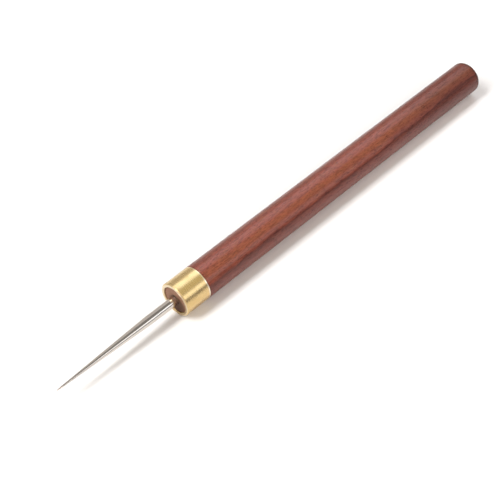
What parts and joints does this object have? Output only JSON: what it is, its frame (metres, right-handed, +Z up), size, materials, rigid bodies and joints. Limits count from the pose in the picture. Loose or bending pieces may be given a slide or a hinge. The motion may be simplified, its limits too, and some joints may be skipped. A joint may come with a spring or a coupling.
{
  "type": "jewelry awl",
  "caption": "Hand awl with a round hardwood handle, a flush brass ferrule and a tapered, sharply pointed steel needle.",
  "frame": {"origin": "on the surface that the awl lies on, under the middle of its length and width", "axes": "+X along the awl from the needle's tip towards the handle's butt, +Z up, +Y across it"},
  "size_m": [0.1552, 0.0094, 0.0095],
  "materials": {
    "handle_wood": "satin",
    "ferrule_brass": "polished",
    "needle_steel": "polished",
    "glue": "gloss"
  },
  "bodies": {
    "root": {"handle": "handle_wood", "ferrule": "ferrule_brass", "needle": "needle_steel", "needle_glue": "glue"}
  },
  "joints": []
}
